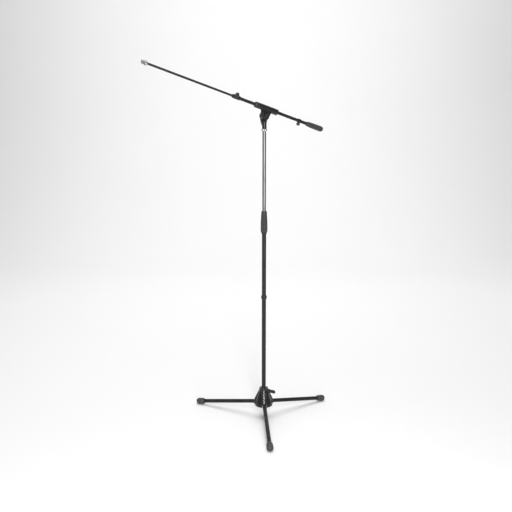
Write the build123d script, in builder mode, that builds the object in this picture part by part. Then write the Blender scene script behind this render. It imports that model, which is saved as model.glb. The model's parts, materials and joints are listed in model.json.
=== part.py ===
from build123d import *
import os
from math import cos, radians, sin, tan

# Boom microphone stand: folding tripod base, telescopic mast, counterweighted telescopic boom.
# Millimetres, +Z up. The origin is on the mast axis at floor level. The boom lies in the XZ
# plane, with its microphone end towards -X.

# ---------------------------------------------------------------- driving dimensions
# Tripod legs
foot_reach = 365.0  # mast axis to the tip of a foot
leg_slope = 10.25  # degrees below level
first_leg_angle = -111.3  # degrees from +X
leg_radius = 9.0
leg_wall = 1.2
foot_radius = 14.5
foot_length = 45.0

# Leg pins and the tongues that turn on them
pin_distance = 26.0  # mast axis to a leg pin
pin_radius = 3.0
tongue_thickness = 12.0
tongue_height = 13.0
tongue_inner_reach = 13.0  # from the pin towards the mast
tube_start = 7.0  # from the pin to the end of the leg tube
pin_clearance = 0.05

# Hub casting
hub_top = 144.5
hub_collar_radius = 20.5
hub_collar_bottom = 132.0
hub_rim_height = 59.0
hub_rim_radius = 41.0
hub_wall = 3.5
hub_guide_bottom = 113.0
hood_reach = 47.0  # mast axis to the end of the hood over a leg
hood_half_width = 12.5
hood_top = 84.0
tunnel_radius = 9.8
bush_radius = 12.0

# Clamp screws and their T-bars
base_screw_height = 131.0
base_screw_radius = 4.0
base_bar_length = 23.0
base_bar_width = 12.0
swivel_bar_length = 30.0
swivel_bar_width = 9.0

# Mast
lower_tube_radius = 9.5
lower_tube_wall = 1.2
upper_tube_radius = 8.0
upper_tube_wall = 1.0
flange_bottom = 82.0
flange_radius = 17.0
flange_thickness = 4.0
tube_joint_height = 575.0
clutch_bottom = 865.0
clutch_top = 968.0
grip_bottom = 874.3
upper_tube_bottom = 640.0
upper_tube_top = 1316.0
stud_radius = 4.76  # 3/8 inch thread
tip_thread_radius = 7.94  # 5/8 inch thread
stud_length = 26.0

# Swivel at the mast head
pivot_height = 1381.0
neck_radius = 10.0
neck_bottom = 1325.0
disc_radius = 19.0
disc_thickness = 10.0
swivel_bolt_radius = 4.0
boom_offset = 33.0  # pivot to boom axis
boom_tilt = 17.2  # degrees, microphone end up

# Boom, measured along its axis from the point above the pivot, positive to the microphone end
housing_radius = 13.0
housing_rear = -55.0
housing_front = 41.0
clamp_nut_front = 58.0
boom_radius = 6.75
boom_wall = 1.0
boom_rear = -286.0
boom_front = 163.0
rod_radius = 4.7
rod_wall = 0.8
rod_rear = 40.0
rod_front = 549.0
tip_end = 573.0
rod_clamp_rear = 131.0
rod_clamp_front = 168.0
rod_screw_place = 152.0
stop_collar_rear = -176.0
stop_collar_front = -162.0
weight_front = -207.0
weight_rear = -295.0

running_gap = 0.07  # radial, between parts that slide or turn on each other
free_gap = 0.3  # between faces that only pass each other

# ---------------------------------------------------------------- derived places
leg_angles = [first_leg_angle + 120 * n for n in range(3)]
foot_centre_along = (foot_reach - foot_radius) / cos(radians(leg_slope))
leg_axis_height = foot_radius + foot_centre_along * sin(radians(leg_slope))
pin_height = leg_axis_height - pin_distance * tan(radians(leg_slope))
foot_centre = foot_centre_along - pin_distance / cos(radians(leg_slope))
foot_start = foot_centre + foot_radius - foot_length
up = Vector(0, 0, 1)

boom_direction = Vector(-cos(radians(boom_tilt)), 0, sin(radians(boom_tilt)))
boom_normal = Vector(sin(radians(boom_tilt)), 0, cos(radians(boom_tilt)))
pivot = Vector(0, 0, pivot_height)
boom_centre = pivot + boom_normal * boom_offset
boom_axis = Axis(boom_centre, boom_direction)


def outward(angle):
    """Level direction from the mast axis, at an angle from +X."""
    return Vector(cos(radians(angle)), sin(radians(angle)), 0)


def radial_plane(angle):
    """Upright plane through the mast axis: local x runs outward, local y runs up."""
    return Plane(origin=(0, 0, 0), x_dir=outward(angle), z_dir=outward(angle - 90))


def leg_direction(angle):
    """Direction from a leg's pin to its foot."""
    return outward(angle) * cos(radians(leg_slope)) - up * sin(radians(leg_slope))


def pin_point(angle):
    """Centre of a leg's pin."""
    return outward(angle) * pin_distance + up * pin_height


def leg_side_plane(angle):
    """Upright plane along a leg, origin at its pin: local x runs to the foot."""
    return Plane(origin=pin_point(angle), x_dir=leg_direction(angle), z_dir=outward(angle - 90))


def leg_section_plane(angle, along):
    """Plane square to a leg, at a distance from its pin."""
    origin = pin_point(angle) + leg_direction(angle) * along
    return Plane(origin=origin, x_dir=outward(angle - 90), z_dir=leg_direction(angle))


def boom_section_plane(along):
    """Plane square to the boom: local x is the boom's upper side, local y is +Y."""
    origin = boom_centre + boom_direction * along
    return Plane(origin=origin, x_dir=boom_normal, z_dir=boom_direction)


def leg_axis_at(reach):
    """Height of a leg's axis, at a level distance from the mast axis."""
    return leg_axis_height - reach * tan(radians(leg_slope))


boom_side_plane = Plane(origin=boom_centre, x_dir=boom_normal, z_dir=(0, -1, 0))  # y: along boom
tilt_plane = Plane(origin=pivot, x_dir=boom_direction * -1, z_dir=(0, -1, 0))  # y: boom normal
upright_profile = Plane.XZ  # local x is the radius, local y the height


def finish(built, label):
    """Name a finished piece and write it."""
    built.part.label = label
    export_step(built.part, f"parts/{label}.step")


os.makedirs("parts", exist_ok=True)

# ================================================================ base
# ---------------------------------------------------------------- hub casting
cheek_inner = tongue_thickness / 2 + 0.4
cheek_outer = cheek_inner + 4
cheek_round = 6.0
cheek_top = hub_guide_bottom + 2
pocket_inner, pocket_outer = 19.0, 36.0  # from the mast axis
pocket_bottom, pocket_top = 52.0, 92.0
tunnel_inner = 15.0  # from the mast axis
hub_boss_radius = 9.0
hub_screw_angle = first_leg_angle + 60
hub_boss_reach = 31.0
hub_clear_reach = hood_reach + 5
hub_screw_plane = Plane(
    origin=(0, 0, base_screw_height), x_dir=(0, 0, 1), z_dir=outward(hub_screw_angle)
)
hub_screw_axis = Axis((0, 0, base_screw_height), outward(hub_screw_angle))

with BuildPart() as base_hub:
    with BuildSketch(upright_profile):
        with BuildLine():
            Polyline(
                (0, hub_rim_height),
                (hub_rim_radius, hub_rim_height),
                (hub_rim_radius, hub_rim_height + 5),
                (hub_collar_radius, hub_collar_bottom),
                (hub_collar_radius, hub_top),
                (0, hub_top),
                close=True,
            )
        make_face()
    revolve(axis=Axis.Z)
    # a ridge runs down from the collar to a hood over each leg
    for angle in leg_angles:
        with BuildSketch(radial_plane(angle)):
            with BuildLine():
                Polyline(
                    (0, hub_rim_height),
                    (hood_reach, hub_rim_height),
                    (hood_reach, hood_top),
                    (hub_collar_radius - 1, hub_collar_bottom + 4),
                    (0, hub_collar_bottom + 4),
                    close=True,
                )
            make_face()
        extrude(amount=hood_half_width, both=True)
    # boss for the clamp screw
    with BuildSketch(hub_screw_plane):
        Circle(hub_boss_radius)
    extrude(amount=hub_boss_reach)
    # hollow inside of the cone
    with BuildSketch(upright_profile):
        with BuildLine():
            Polyline(
                (0, hub_rim_height - 1),
                (hub_rim_radius - hub_wall, hub_rim_height - 1),
                (hub_rim_radius - hub_wall, hub_rim_height + 5),
                (hub_collar_radius + 2, hub_guide_bottom),
                (0, hub_guide_bottom),
                close=True,
            )
        make_face()
    revolve(axis=Axis.Z, mode=Mode.SUBTRACT)
    for angle in leg_angles:
        # round tunnel for the leg tube, open below so that the leg can fold down
        with BuildSketch(leg_section_plane(angle, tube_start - 0.5)):
            Circle(tunnel_radius)
        extrude(amount=hood_reach, mode=Mode.SUBTRACT)
        with BuildSketch(radial_plane(angle)):
            with BuildLine():
                Polyline(
                    (tunnel_inner, 0),
                    (hub_clear_reach, 0),
                    (hub_clear_reach, leg_axis_at(hub_clear_reach)),
                    (tunnel_inner, leg_axis_at(tunnel_inner)),
                    close=True,
                )
            make_face()
        extrude(amount=tunnel_radius, both=True, mode=Mode.SUBTRACT)
        # pocket that the tongue turns up into
        with BuildSketch(radial_plane(angle)):
            with Locations(((pocket_inner + pocket_outer) / 2, (pocket_bottom + pocket_top) / 2)):
                Rectangle(pocket_outer - pocket_inner, pocket_top - pocket_bottom)
        extrude(amount=cheek_inner, both=True, mode=Mode.SUBTRACT)
    # two cheeks hold each pin
    for angle in leg_angles:
        for side in (-1, 1):
            with BuildSketch(radial_plane(angle).offset(side * (cheek_inner + cheek_outer) / 2)):
                with Locations((pin_distance, pin_height)):
                    Circle(cheek_round)
                with Locations((pin_distance, (pin_height + cheek_top) / 2)):
                    Rectangle(2 * cheek_round, cheek_top - pin_height)
            extrude(amount=(cheek_outer - cheek_inner) / 2, both=True)
        with BuildSketch(radial_plane(angle)):
            with Locations((pin_distance, pin_height)):
                Circle(pin_radius)
        extrude(amount=cheek_outer + 1, both=True, mode=Mode.SUBTRACT)
    # bores for the mast bush and the clamp screw
    with BuildSketch(Plane.XY):
        Circle(bush_radius)
    extrude(amount=hub_top, mode=Mode.SUBTRACT)
    with BuildSketch(hub_screw_plane):
        Circle(base_screw_radius + running_gap)
    extrude(amount=hub_boss_reach, mode=Mode.SUBTRACT)
finish(base_hub, "base_hub")

bush_rim_radius = 14.0
bush_rim_thickness = 1.2

with BuildPart() as hub_bush:
    with BuildSketch(Plane.XY.offset(hub_guide_bottom)):
        Circle(bush_radius)
        Circle(lower_tube_radius + running_gap, mode=Mode.SUBTRACT)
    extrude(amount=hub_top - hub_guide_bottom)
    with BuildSketch(Plane.XY.offset(hub_top)):
        Circle(bush_rim_radius)
        Circle(lower_tube_radius + running_gap, mode=Mode.SUBTRACT)
    extrude(amount=bush_rim_thickness)
finish(hub_bush, "hub_bush")

with BuildPart() as leg_hinge_pins:
    for angle in leg_angles:
        with BuildSketch(radial_plane(angle)):
            with Locations((pin_distance, pin_height)):
                Circle(pin_radius)
        extrude(amount=cheek_outer, both=True)
finish(leg_hinge_pins, "leg_hinge_pins")

# ---------------------------------------------------------------- base clamp screw
base_screw_tip = bush_radius + 0.2
base_stem_radius = 8.0
base_stem_end_radius = 6.5
base_bar_start = 42.0
base_bar_end = 57.0
base_bar_angle = 35.0
base_bar_round = 4.0
t_bar_cap = 4.0  # solid end over the screw

with BuildPart() as base_clamp_screw:
    with BuildSketch(hub_screw_plane.offset(base_screw_tip)):
        Circle(base_screw_radius)
    extrude(amount=base_bar_end - t_bar_cap - base_screw_tip)
finish(base_clamp_screw, "base_clamp_screw")

with BuildPart() as base_clamp_t_bar:
    with BuildSketch(hub_screw_plane.offset(hub_boss_reach + 1)):
        Circle(base_stem_radius)
    with BuildSketch(hub_screw_plane.offset(base_bar_start + 2)):
        Circle(base_stem_end_radius)
    loft()
    with BuildSketch(hub_screw_plane.offset(base_bar_start)):
        SlotOverall(base_bar_length, base_bar_width, rotation=base_bar_angle)
    extrude(amount=base_bar_end - base_bar_start)
    fillet(base_clamp_t_bar.edges().group_by(hub_screw_axis)[-1], base_bar_round)
    with BuildSketch(hub_screw_plane):
        Circle(base_screw_radius)
    extrude(amount=base_bar_end - t_bar_cap, mode=Mode.SUBTRACT)
finish(base_clamp_t_bar, "base_clamp_t_bar")

# ---------------------------------------------------------------- legs
plug_length = 28.0
tongue_round = 5.0
tongue_shoulder = 6.0
foot_neck_radius = 11.5
foot_shoulder_radius = 13.6
foot_shoulder = 7.0  # from the foot's start


def make_leg(number, angle):
    """Tongue fitting, tube and rubber foot of one leg."""
    tongue_middle = (tube_start - tongue_inner_reach) / 2
    with BuildPart() as fitting:
        with BuildSketch(leg_side_plane(angle)):
            with Locations((tongue_middle, 0)):
                RectangleRounded(tube_start + tongue_inner_reach, tongue_height, tongue_round)
            with Locations((tube_start - tongue_shoulder / 2, 0)):
                Rectangle(tongue_shoulder, tongue_height)
            Circle(pin_radius + pin_clearance, mode=Mode.SUBTRACT)
        extrude(amount=tongue_thickness / 2, both=True)
        with BuildSketch(leg_section_plane(angle, tube_start)):
            Circle(leg_radius - leg_wall)
        extrude(amount=plug_length)
    finish(fitting, f"leg_fitting_{number}")

    with BuildPart() as tube:
        with BuildSketch(leg_section_plane(angle, tube_start)):
            Circle(leg_radius)
            Circle(leg_radius - leg_wall, mode=Mode.SUBTRACT)
        extrude(amount=foot_centre - tube_start)
    finish(tube, f"leg_tube_{number}")

    with BuildPart() as foot:
        with BuildSketch(leg_side_plane(angle)):
            with BuildLine():
                Line((foot_start, leg_radius), (foot_start, foot_neck_radius))
                Spline(
                    (foot_start, foot_neck_radius),
                    (foot_start + foot_shoulder, foot_shoulder_radius),
                    (foot_centre, foot_radius),
                    tangents=((0.3, 1), (1, 0)),
                )
                CenterArc((foot_centre, 0), foot_radius, 0, 90)
                Polyline(
                    (foot_centre + foot_radius, 0),
                    (foot_centre, 0),
                    (foot_centre, leg_radius),
                    (foot_start, leg_radius),
                )
            make_face()
        revolve(axis=Axis(pin_point(angle), leg_direction(angle)))
    finish(foot, f"leg_foot_{number}")


for number, angle in enumerate(leg_angles, start=1):
    make_leg(number, angle)

# ================================================================ mast
lower_bore = lower_tube_radius - lower_tube_wall
flange_top = flange_bottom + flange_thickness
lower_tube_top = 880.0
flange_chamfer = 1.5
flange_plug_length = 20.0


def make_tube(label, bottom, top, radius, bore):
    """Plain upright tube on the mast axis."""
    with BuildPart() as tube:
        with BuildSketch(Plane.XY.offset(bottom)):
            Circle(radius)
            Circle(bore, mode=Mode.SUBTRACT)
        extrude(amount=top - bottom)
    finish(tube, label)


make_tube("mast_lower_tube", flange_top, tube_joint_height, lower_tube_radius, lower_bore)
make_tube("mast_middle_tube", tube_joint_height, lower_tube_top, lower_tube_radius, lower_bore)

with BuildPart() as mast_end_flange:
    with BuildSketch(Plane.XY.offset(flange_bottom)):
        Circle(flange_radius)
    extrude(amount=flange_thickness)
    chamfer(mast_end_flange.edges().group_by(Axis.Z)[0], flange_chamfer)
    with BuildSketch(Plane.XY.offset(flange_top)):
        Circle(lower_bore)
    extrude(amount=flange_plug_length)
finish(mast_end_flange, "mast_end_flange")

joint_collar_length = 16.0
joint_collar_radius = 13.0
joint_collar_round = 3.0

with BuildPart() as tube_joint_collar:
    with BuildSketch(Plane.XY.offset(tube_joint_height - joint_collar_length / 2)):
        Circle(joint_collar_radius)
    extrude(amount=joint_collar_length)
    fillet(tube_joint_collar.edges(), joint_collar_round)
    with BuildSketch(Plane.XY.offset(tube_joint_height - joint_collar_length / 2)):
        Circle(lower_tube_radius)
    extrude(amount=joint_collar_length, mode=Mode.SUBTRACT)
finish(tube_joint_collar, "tube_joint_collar")

# ---------------------------------------------------------------- height clutch
nose_radius = 11.5
nose_top = 905.0
collet_top = 929.0
clutch_lip_radius = 10.6
clutch_body_radius = 12.6
clutch_body_taper = 4.0
clutch_bore = upper_tube_radius + 0.4
grip_bore = nose_radius + 0.1
collet_radius = nose_radius - 0.5
collet_taper = 3.0  # degrees
grip_mouth = upper_tube_radius + 0.5
grip_outline = [  # radius, height
    (14.8, grip_bottom),
    (15.2, 884),
    (15.2, 900),
    (14.7, 922),
    (13.5, 943),
    (12.5, 962),
]
grip_top_radius = 10.2

with BuildPart() as clutch_body:
    with BuildSketch(upright_profile):
        with BuildLine():
            Polyline(
                (lower_tube_radius, clutch_bottom),
                (clutch_lip_radius, clutch_bottom),
                (clutch_body_radius, clutch_bottom + clutch_body_taper),
                (clutch_body_radius, grip_bottom - free_gap),
                (nose_radius, grip_bottom - free_gap),
                (nose_radius, nose_top),
                (clutch_bore, nose_top),
                (clutch_bore, lower_tube_top),
                (lower_tube_radius, lower_tube_top),
                close=True,
            )
        make_face()
    revolve(axis=Axis.Z)
finish(clutch_body, "clutch_body")

with BuildPart() as clutch_collet:
    with BuildSketch(Plane.XY.offset(nose_top)):
        Circle(collet_radius)
    extrude(amount=collet_top - nose_top, taper=collet_taper)
    with BuildSketch(Plane.XY.offset(nose_top)):
        Circle(upper_tube_radius + running_gap)
    extrude(amount=collet_top - nose_top, mode=Mode.SUBTRACT)
finish(clutch_collet, "clutch_collet")

with BuildPart() as clutch_grip:
    with BuildSketch(upright_profile):
        with BuildLine():
            Line((grip_bore, grip_bottom), grip_outline[0])
            Spline(*grip_outline)
            Polyline(
                grip_outline[-1],
                (grip_top_radius, clutch_top),
                (grip_mouth, clutch_top),
                (grip_mouth, collet_top + 2),
                (grip_bore, collet_top + 2),
                (grip_bore, grip_bottom),
            )
        make_face()
    revolve(axis=Axis.Z)
finish(clutch_grip, "clutch_grip")

# ---------------------------------------------------------------- upper tube
upper_bore = upper_tube_radius - upper_tube_wall
make_tube(
    "mast_upper_tube", upper_tube_bottom, upper_tube_top, upper_tube_radius, upper_bore
)

guide_length = 22.0
guide_plug_length = 25.0
guide_bore = 5.0
stud_plug_length = 24.0

with BuildPart() as upper_guide_bush:
    with BuildSketch(Plane.XY.offset(upper_tube_bottom - free_gap - guide_length)):
        Circle(lower_bore - running_gap)
        Circle(guide_bore, mode=Mode.SUBTRACT)
    extrude(amount=guide_length)
    with BuildSketch(Plane.XY.offset(upper_tube_bottom - free_gap)):
        Circle(upper_bore - running_gap)
        Circle(guide_bore, mode=Mode.SUBTRACT)
    extrude(amount=guide_plug_length)
finish(upper_guide_bush, "upper_guide_bush")

with BuildPart() as mast_top_stud:
    with BuildSketch(Plane.XY.offset(upper_tube_top - stud_plug_length)):
        Circle(upper_bore)
    extrude(amount=stud_plug_length)
    with BuildSketch(Plane.XY.offset(upper_tube_top)):
        Circle(stud_radius)
    extrude(amount=stud_length)
finish(mast_top_stud, "mast_top_stud")

lock_ring_radius = 12.5
lock_ring_chamfer = 1.2

with BuildPart() as swivel_lock_ring:
    with BuildSketch(Plane.XY.offset(upper_tube_top + free_gap)):
        Circle(lock_ring_radius)
    extrude(amount=neck_bottom - upper_tube_top - 2 * free_gap)
    chamfer(swivel_lock_ring.edges(), lock_ring_chamfer)
    with BuildSketch(Plane.XY.offset(upper_tube_top)):
        Circle(stud_radius + running_gap)
    extrude(amount=stud_length, mode=Mode.SUBTRACT)
finish(swivel_lock_ring, "swivel_lock_ring")

# ================================================================ swivel
# ---------------------------------------------------------------- neck
disc_face = 1.0  # y of the neck disc's joint face
disc_back = disc_face + disc_thickness
neck_front_top = 1356.0  # the front of the stem ends below the turning boss
web_bottom = neck_front_top - 12
web_top = pivot_height - 7
web_half_width = disc_radius * 0.93
clearance_size = 80.0
nut_radius = 7.5  # centre to a corner
nut_thickness = 6.0
nut_recess = 4.0

with BuildPart() as swivel_neck:
    with BuildSketch(Plane.XY.offset(neck_bottom)):
        Circle(neck_radius)
    extrude(amount=pivot_height - neck_bottom)
    with BuildSketch(Plane.XZ.offset(-disc_face)):
        with BuildLine():
            Polyline(
                (-neck_radius, web_bottom),
                (neck_radius, web_bottom),
                (web_half_width, web_top),
                (-web_half_width, web_top),
                close=True,
            )
        make_face()
        with Locations((0, pivot_height)):
            Circle(disc_radius)
    extrude(amount=-disc_thickness)
    # clear the space in front of the disc, where the boom's boss turns
    with BuildSketch(Plane.XZ.offset(-disc_face)):
        with Locations((0, neck_front_top + clearance_size / 2)):
            Rectangle(clearance_size, clearance_size)
    extrude(amount=clearance_size / 2, mode=Mode.SUBTRACT)
    with BuildSketch(Plane.XY.offset(neck_bottom)):
        Circle(stud_radius)
    extrude(amount=upper_tube_top + stud_length - neck_bottom, mode=Mode.SUBTRACT)
    # bolt hole, and a hexagonal recess that holds the nut at the back
    with BuildSketch(Plane.XZ):
        with Locations((0, pivot_height)):
            Circle(swivel_bolt_radius + running_gap)
    extrude(amount=-disc_back, mode=Mode.SUBTRACT)
    with BuildSketch(Plane.XZ.offset(-disc_back)):
        with Locations((0, pivot_height)):
            RegularPolygon(nut_radius, 6)
    extrude(amount=nut_recess, mode=Mode.SUBTRACT)
finish(swivel_neck, "swivel_neck")

with BuildPart() as swivel_nut:
    with BuildSketch(Plane.XZ.offset(-(disc_back - nut_recess + nut_thickness))):
        with Locations((0, pivot_height)):
            RegularPolygon(nut_radius, 6)
            Circle(swivel_bolt_radius + running_gap, mode=Mode.SUBTRACT)
    extrude(amount=nut_thickness)
finish(swivel_nut, "swivel_nut")

washer_radius = 17.0
washer_thickness = 0.8

with BuildPart() as swivel_friction_washer:
    with BuildSketch(Plane.XZ.offset(-disc_face)):
        with Locations((0, pivot_height)):
            Circle(washer_radius)
            Circle(swivel_bolt_radius + 0.5, mode=Mode.SUBTRACT)
    extrude(amount=washer_thickness)
finish(swivel_friction_washer, "swivel_friction_washer")

# ---------------------------------------------------------------- boom holder
boss_face = -0.1  # y of the boss's joint face
boss_thickness = 11.0
boss_front = boss_face - boss_thickness
boss_plane = tilt_plane.offset(-boss_face)
bracket_half_width = 24.5
bracket_shoulder = boom_offset - housing_radius + 2
clamp_bush_radius = 9.5

with BuildPart() as boom_holder:
    with BuildSketch(boom_section_plane(housing_rear)):
        Circle(housing_radius)
    extrude(amount=housing_front - housing_rear)
    chamfer(boom_holder.edges().group_by(boom_axis)[0], 1)
    with BuildSketch(boss_plane):
        Circle(disc_radius)
        with BuildLine():
            Polyline(
                (-disc_radius, 0),
                (disc_radius, 0),
                (bracket_half_width, bracket_shoulder),
                (bracket_half_width, boom_offset),
                (-bracket_half_width, boom_offset),
                (-bracket_half_width, bracket_shoulder),
                close=True,
            )
        make_face()
    extrude(amount=boss_thickness)
    with BuildSketch(boom_section_plane(housing_rear)):
        Circle(clamp_bush_radius)
    extrude(amount=housing_front - housing_rear, mode=Mode.SUBTRACT)
    with BuildSketch(boss_plane):
        Circle(swivel_bolt_radius + running_gap)
    extrude(amount=boss_thickness, mode=Mode.SUBTRACT)
finish(boom_holder, "boom_holder")

bush_front = 52.0
nut_round = 4.5

with BuildPart() as boom_clamp_bush:
    with BuildSketch(boom_section_plane(housing_rear)):
        Circle(clamp_bush_radius)
        Circle(boom_radius + running_gap, mode=Mode.SUBTRACT)
    extrude(amount=bush_front - housing_rear)
finish(boom_clamp_bush, "boom_clamp_bush")

with BuildPart() as boom_clamp_nut:
    with BuildSketch(boom_section_plane(housing_front + free_gap)):
        Circle(housing_radius)
    extrude(amount=clamp_nut_front - housing_front - free_gap)
    fillet(boom_clamp_nut.edges().group_by(boom_axis)[-1], nut_round)
    fillet(boom_clamp_nut.edges().group_by(boom_axis)[0], 1)
    with BuildSketch(boom_section_plane(housing_front)):
        Circle(clamp_bush_radius + 0.1)
    extrude(amount=bush_front + 0.5 - housing_front, mode=Mode.SUBTRACT)
    with BuildSketch(boom_section_plane(housing_front)):
        Circle(boom_radius + 0.4)
    extrude(amount=clamp_nut_front - housing_front, mode=Mode.SUBTRACT)
finish(boom_clamp_nut, "boom_clamp_nut")

# ---------------------------------------------------------------- swivel bolt and T-bar
swivel_bar_plane = Plane.XZ.offset(-boss_front + 1)
swivel_bar_depth = 14.0
swivel_bar_start = 4.0
swivel_bar_angle = 42.0
swivel_bar_round = 2.5
swivel_cap = 3.0
swivel_hub_radius = 8.0
swivel_hub_taper = 8.0  # degrees
swivel_bolt_back = disc_back + 4

with BuildPart() as swivel_bolt:
    with BuildSketch(Plane.XZ.offset(-swivel_bolt_back)):
        with Locations((0, pivot_height)):
            Circle(swivel_bolt_radius)
    extrude(amount=swivel_bolt_back - boss_front + 1 + swivel_bar_depth - swivel_cap)
finish(swivel_bolt, "swivel_bolt")

with BuildPart() as swivel_t_bar:
    with BuildSketch(swivel_bar_plane):
        with Locations((0, pivot_height)):
            Circle(swivel_hub_radius)
    extrude(amount=swivel_bar_depth - swivel_cap, taper=swivel_hub_taper)
    with BuildSketch(swivel_bar_plane.offset(swivel_bar_start)):
        with Locations((0, pivot_height)):
            SlotOverall(swivel_bar_length, swivel_bar_width, rotation=swivel_bar_angle)
    extrude(amount=swivel_bar_depth - swivel_bar_start)
    fillet(swivel_t_bar.faces().sort_by(Axis.Y)[0].edges(), swivel_bar_round)
    with BuildSketch(swivel_bar_plane):
        with Locations((0, pivot_height)):
            Circle(swivel_bolt_radius)
    extrude(amount=swivel_bar_depth - swivel_cap, mode=Mode.SUBTRACT)
finish(swivel_t_bar, "swivel_t_bar")

# ================================================================ boom
# ---------------------------------------------------------------- outer tube and its rod clamp
rod_screw_radius = 2.5
rod_knob_angle = -62.0  # about the boom, from its upper side towards -Y
rod_clamp_radius = 9.2
rod_clamp_nose_radius = 6.8
rod_clamp_nose = 5.0
rod_boss_radius = 6.5
rod_boss_reach = 11.5
rod_screw_direction = boom_normal * cos(radians(rod_knob_angle)) + Vector(
    0, sin(radians(rod_knob_angle)), 0
)
rod_screw_plane = Plane(
    origin=boom_centre + boom_direction * rod_screw_place,
    x_dir=boom_direction,
    z_dir=rod_screw_direction,
)

with BuildPart() as boom_tube:
    with BuildSketch(boom_section_plane(boom_rear)):
        Circle(boom_radius)
        Circle(boom_radius - boom_wall, mode=Mode.SUBTRACT)
    extrude(amount=boom_front - boom_rear)
    with BuildSketch(rod_screw_plane):
        Circle(rod_screw_radius + running_gap)
    extrude(amount=2 * boom_radius, mode=Mode.SUBTRACT)
finish(boom_tube, "boom_tube")

with BuildPart() as rod_clamp_sleeve:
    with BuildSketch(boom_side_plane):
        with BuildLine():
            Polyline(
                (0, rod_clamp_rear),
                (rod_clamp_radius, rod_clamp_rear),
                (rod_clamp_radius, rod_clamp_front - rod_clamp_nose),
                (rod_clamp_nose_radius, rod_clamp_front),
                (0, rod_clamp_front),
                close=True,
            )
        make_face()
    revolve(axis=boom_axis)
    with BuildSketch(rod_screw_plane):
        Circle(rod_boss_radius)
    extrude(amount=rod_boss_reach)
    with BuildSketch(boom_section_plane(rod_clamp_rear)):
        Circle(boom_radius)
    extrude(amount=boom_front - rod_clamp_rear, mode=Mode.SUBTRACT)
    with BuildSketch(boom_section_plane(rod_clamp_rear)):
        Circle(rod_radius + running_gap)
    extrude(amount=rod_clamp_front - rod_clamp_rear, mode=Mode.SUBTRACT)
    with BuildSketch(rod_screw_plane):
        Circle(rod_screw_radius + running_gap)
    extrude(amount=rod_boss_reach, mode=Mode.SUBTRACT)
finish(rod_clamp_sleeve, "rod_clamp_sleeve")

rod_knob_radius = 9.0
rod_knob_start = 12.0
rod_knob_end = 23.0
rod_knob_round = 3.0

with BuildPart() as rod_clamp_screw:
    with BuildSketch(rod_screw_plane.offset(rod_radius + free_gap)):
        Circle(rod_screw_radius)
    extrude(amount=rod_knob_end - rod_knob_round - rod_radius - free_gap)
finish(rod_clamp_screw, "rod_clamp_screw")

with BuildPart() as rod_clamp_knob:
    with BuildSketch(rod_screw_plane.offset(rod_knob_start)):
        Circle(rod_knob_radius)
    extrude(amount=rod_knob_end - rod_knob_start)
    knob_axis = Axis(boom_centre + boom_direction * rod_screw_place, rod_screw_direction)
    fillet(rod_clamp_knob.edges().group_by(knob_axis)[-1], rod_knob_round)
    with BuildSketch(rod_screw_plane):
        Circle(rod_screw_radius)
    extrude(amount=rod_knob_end - rod_knob_round, mode=Mode.SUBTRACT)
finish(rod_clamp_knob, "rod_clamp_knob")

# ---------------------------------------------------------------- front rod and its thread
with BuildPart() as boom_rod:
    with BuildSketch(boom_section_plane(rod_rear)):
        Circle(rod_radius)
        Circle(rod_radius - rod_wall, mode=Mode.SUBTRACT)
    extrude(amount=rod_front - rod_rear)
finish(boom_rod, "boom_rod")

rod_guide_length = 14.0

with BuildPart() as rod_guide_bush:
    with BuildSketch(boom_section_plane(rod_rear - rod_guide_length)):
        Circle(boom_radius - boom_wall - running_gap)
    extrude(amount=rod_guide_length)
    with BuildSketch(boom_section_plane(rod_rear)):
        Circle(rod_radius - rod_wall)
    extrude(amount=rod_guide_length)
finish(rod_guide_bush, "rod_guide_bush")

tip_plug_length = 16.0
tip_shoulder = 3.0
tip_shoulder_radius = 8.6
tip_ring_thickness = 5.5
tip_ring_radius = 10.4
tip_lobe_radius = 4.3
tip_lobe_place = 8.9
tip_neck_depth = 0.2
tip_chamfer = 1.0
tip_thread_start = rod_front + tip_shoulder + tip_ring_thickness + 2 * free_gap

with BuildPart() as tip_thread_adapter:
    with BuildSketch(boom_section_plane(rod_front - tip_plug_length)):
        Circle(rod_radius - rod_wall)
    extrude(amount=tip_plug_length)
    with BuildSketch(boom_section_plane(rod_front)):
        Circle(tip_shoulder_radius)
    extrude(amount=tip_shoulder)
    with BuildSketch(boom_section_plane(rod_front + tip_shoulder)):
        Circle(tip_thread_radius - tip_neck_depth)
    extrude(amount=tip_ring_thickness + 2 * free_gap)
    with BuildSketch(boom_section_plane(tip_thread_start)):
        Circle(tip_thread_radius)
    extrude(amount=tip_end - tip_thread_start)
    chamfer(tip_thread_adapter.edges().group_by(boom_axis)[-1], tip_chamfer)
finish(tip_thread_adapter, "tip_thread_adapter")

with BuildPart() as tip_lock_ring:
    with BuildSketch(boom_section_plane(rod_front + tip_shoulder + free_gap)):
        Circle(tip_ring_radius)
        with PolarLocations(tip_lobe_place, 3):
            Circle(tip_lobe_radius)
        Circle(tip_thread_radius + running_gap, mode=Mode.SUBTRACT)
    extrude(amount=tip_ring_thickness)
finish(tip_lock_ring, "tip_lock_ring")

# ---------------------------------------------------------------- stop collar
stop_screw_plane = Plane(
    origin=boom_centre + boom_direction * (stop_collar_rear + stop_collar_front) / 2,
    x_dir=boom_direction,
    z_dir=boom_normal * -1,
)
stop_collar_radius = 9.0
stop_screw_radius = 2.0
stop_boss_radius = 4.0
stop_knob_radius = 7.8
stop_knob_start = 10.2
stop_knob_end = 20.8
stop_knob_round = 2.5

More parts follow.
